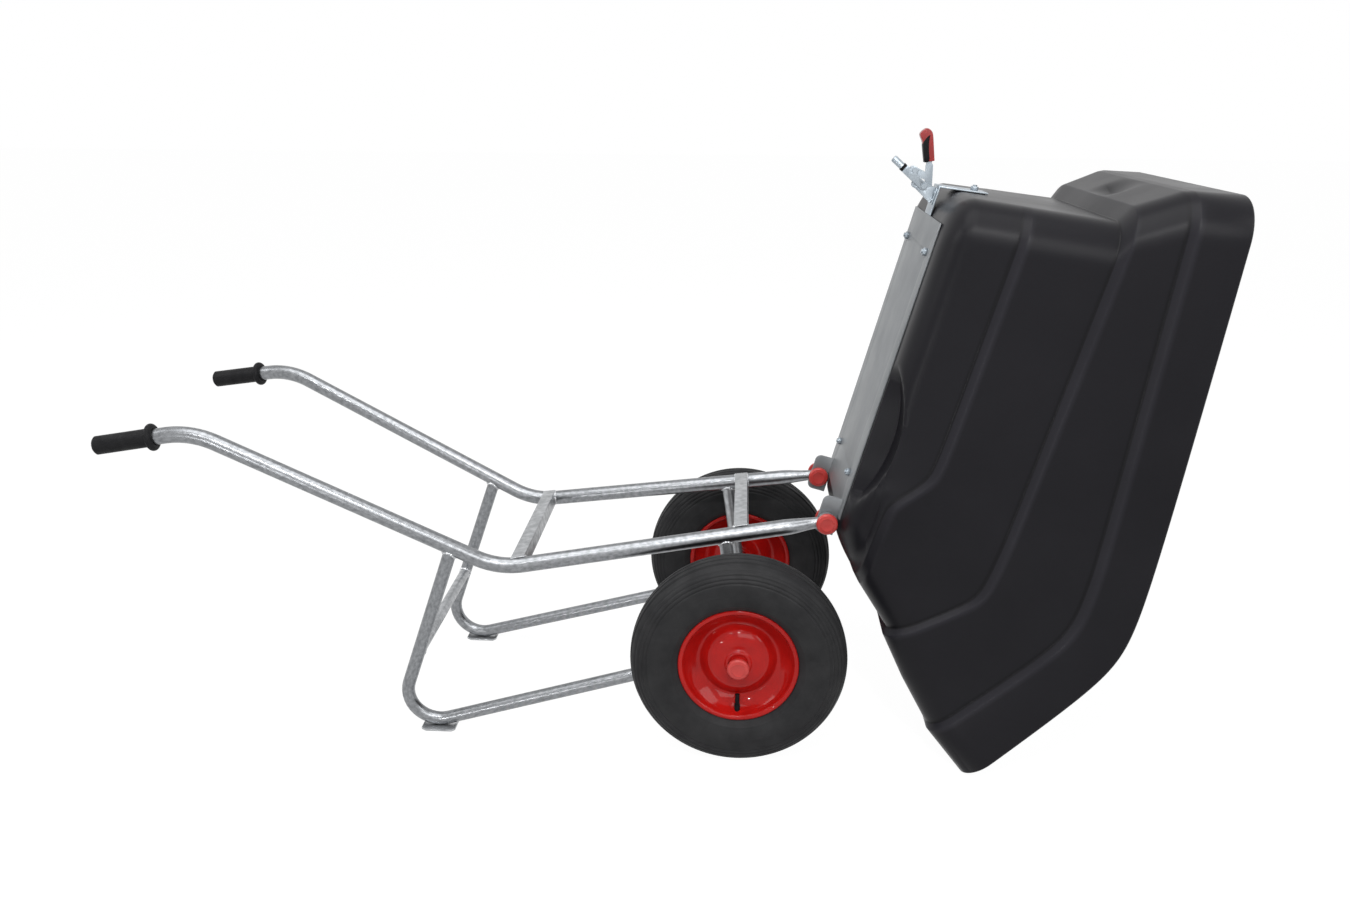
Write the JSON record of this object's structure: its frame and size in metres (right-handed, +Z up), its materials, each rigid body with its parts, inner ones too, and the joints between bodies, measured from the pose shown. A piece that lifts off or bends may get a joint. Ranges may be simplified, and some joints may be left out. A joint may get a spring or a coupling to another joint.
{
  "type": "tipping dump cart",
  "caption": "Two-wheeled tipping garden cart: stepped plastic tub hinged on a bent tube frame with handles, legs, pneumatic wheels and a toggle clamp.",
  "frame": {"origin": "middle of the footprint on the floor", "axes": "+X forward, to the side the tub tips to; +Y to the left; +Z up"},
  "size_m": [1.954, 0.65, 1.1355],
  "materials": {
    "tub_plastic": "satin, fine moulded grain",
    "galvanised": "bright galvanised tube",
    "plate": "dull galvanised sheet",
    "zinc": "bright zinc plate",
    "axle_steel": "drawn bar",
    "rim_red": "gloss red paint",
    "cap_red": "red push-on cap",
    "tyre": "matt black rubber",
    "tube_rubber": "matt",
    "grip_rubber": "matt black",
    "bearing_plastic": "plain",
    "clamp_red": "red and black moulding",
    "ring_black": "matt"
  },
  "bodies": {
    "frame": {"right_rail": "galvanised", "left_rail": "galvanised", "right_hinge_bush": "galvanised", "left_hinge_bush": "galvanised", "right_leg": "galvanised", "left_leg": "galvanised", "right_foot": "galvanised", "left_foot": "galvanised", "leg_cross_tube": "galvanised", "rear_cross_bar": "galvanised", "front_cross_bar": "galvanised", "right_strut": "galvanised", "left_strut": "galvanised", "right_grip": "grip_rubber", "left_grip": "grip_rubber", "axle": "axle_steel", "axle_spacers": "zinc", "axle_washers": "zinc", "axle_caps": "cap_red", "right_hinge_pin": "axle_steel", "left_hinge_pin": "axle_steel", "hinge_caps": "cap_red"},
    "right_wheel": {"right_tyre": "tyre", "right_inner_tube": "tube_rubber", "right_rim": "rim_red", "right_hub": "rim_red", "right_bearings": "bearing_plastic", "right_valve": "ring_black"},
    "left_wheel": {"left_tyre": "tyre", "left_inner_tube": "tube_rubber", "left_rim": "rim_red", "left_hub": "rim_red", "left_bearings": "bearing_plastic", "left_valve": "ring_black"},
    "tipping_tub": {"tub": "tub_plastic", "base_plate": "plate", "tub_bolts": "zinc", "tub_washers": "zinc", "tub_nuts": "zinc", "clamp_bracket": "zinc", "bracket_bolt": "zinc", "bracket_nut": "zinc", "clamp_base": "zinc", "base_rivets": "zinc", "pivot_rivets": "zinc"},
    "arm": {"clamp_arm": "zinc", "arm_ring": "ring_black", "arm_rivet": "zinc"},
    "link": {"clamp_link": "zinc"},
    "lever": {"clamp_lever": "zinc", "lever_rivet": "zinc", "clamp_grip": "clamp_red"}
  },
  "joints": [
    {"name": "tub_tip", "type": "hinge", "parent": "frame", "child": "tipping_tub", "pos_m": [0.351, 0, 0.431], "axis": [0, -1, 0], "range_deg": [0, 113.5]},
    {"name": "right_wheel_spin", "type": "hinge", "parent": "frame", "child": "right_wheel", "pos_m": [0.192, -0.248, 0.2], "axis": [0, 1, 0], "continuous": true},
    {"name": "left_wheel_spin", "type": "hinge", "parent": "frame", "child": "left_wheel", "pos_m": [0.192, 0.248, 0.2], "axis": [0, 1, 0], "continuous": true},
    {"name": "clamp_arm_turn", "type": "hinge", "parent": "tipping_tub", "child": "arm", "pos_m": [0.50697, 0, 1.03626], "axis": [0, -1, 0], "range_deg": [0, 98]},
    {"name": "clamp_lever_turn", "type": "hinge", "parent": "arm", "child": "lever", "pos_m": [0.48872, 0, 1.06435], "axis": [0, -1, 0], "range_deg": [-13, 0.5]},
    {"name": "clamp_link_turn", "type": "hinge", "parent": "tipping_tub", "child": "link", "pos_m": [0.4938, 0, 1.03895], "axis": [0, -1, 0], "range_deg": [-0.5, 26]}
  ],
  "couplings": [
    {"joint": "clamp_lever_turn", "follows": "clamp_arm_turn", "ratio": -0.12041},
    {"joint": "clamp_link_turn", "follows": "clamp_arm_turn", "ratio": 0.25631}
  ]
}
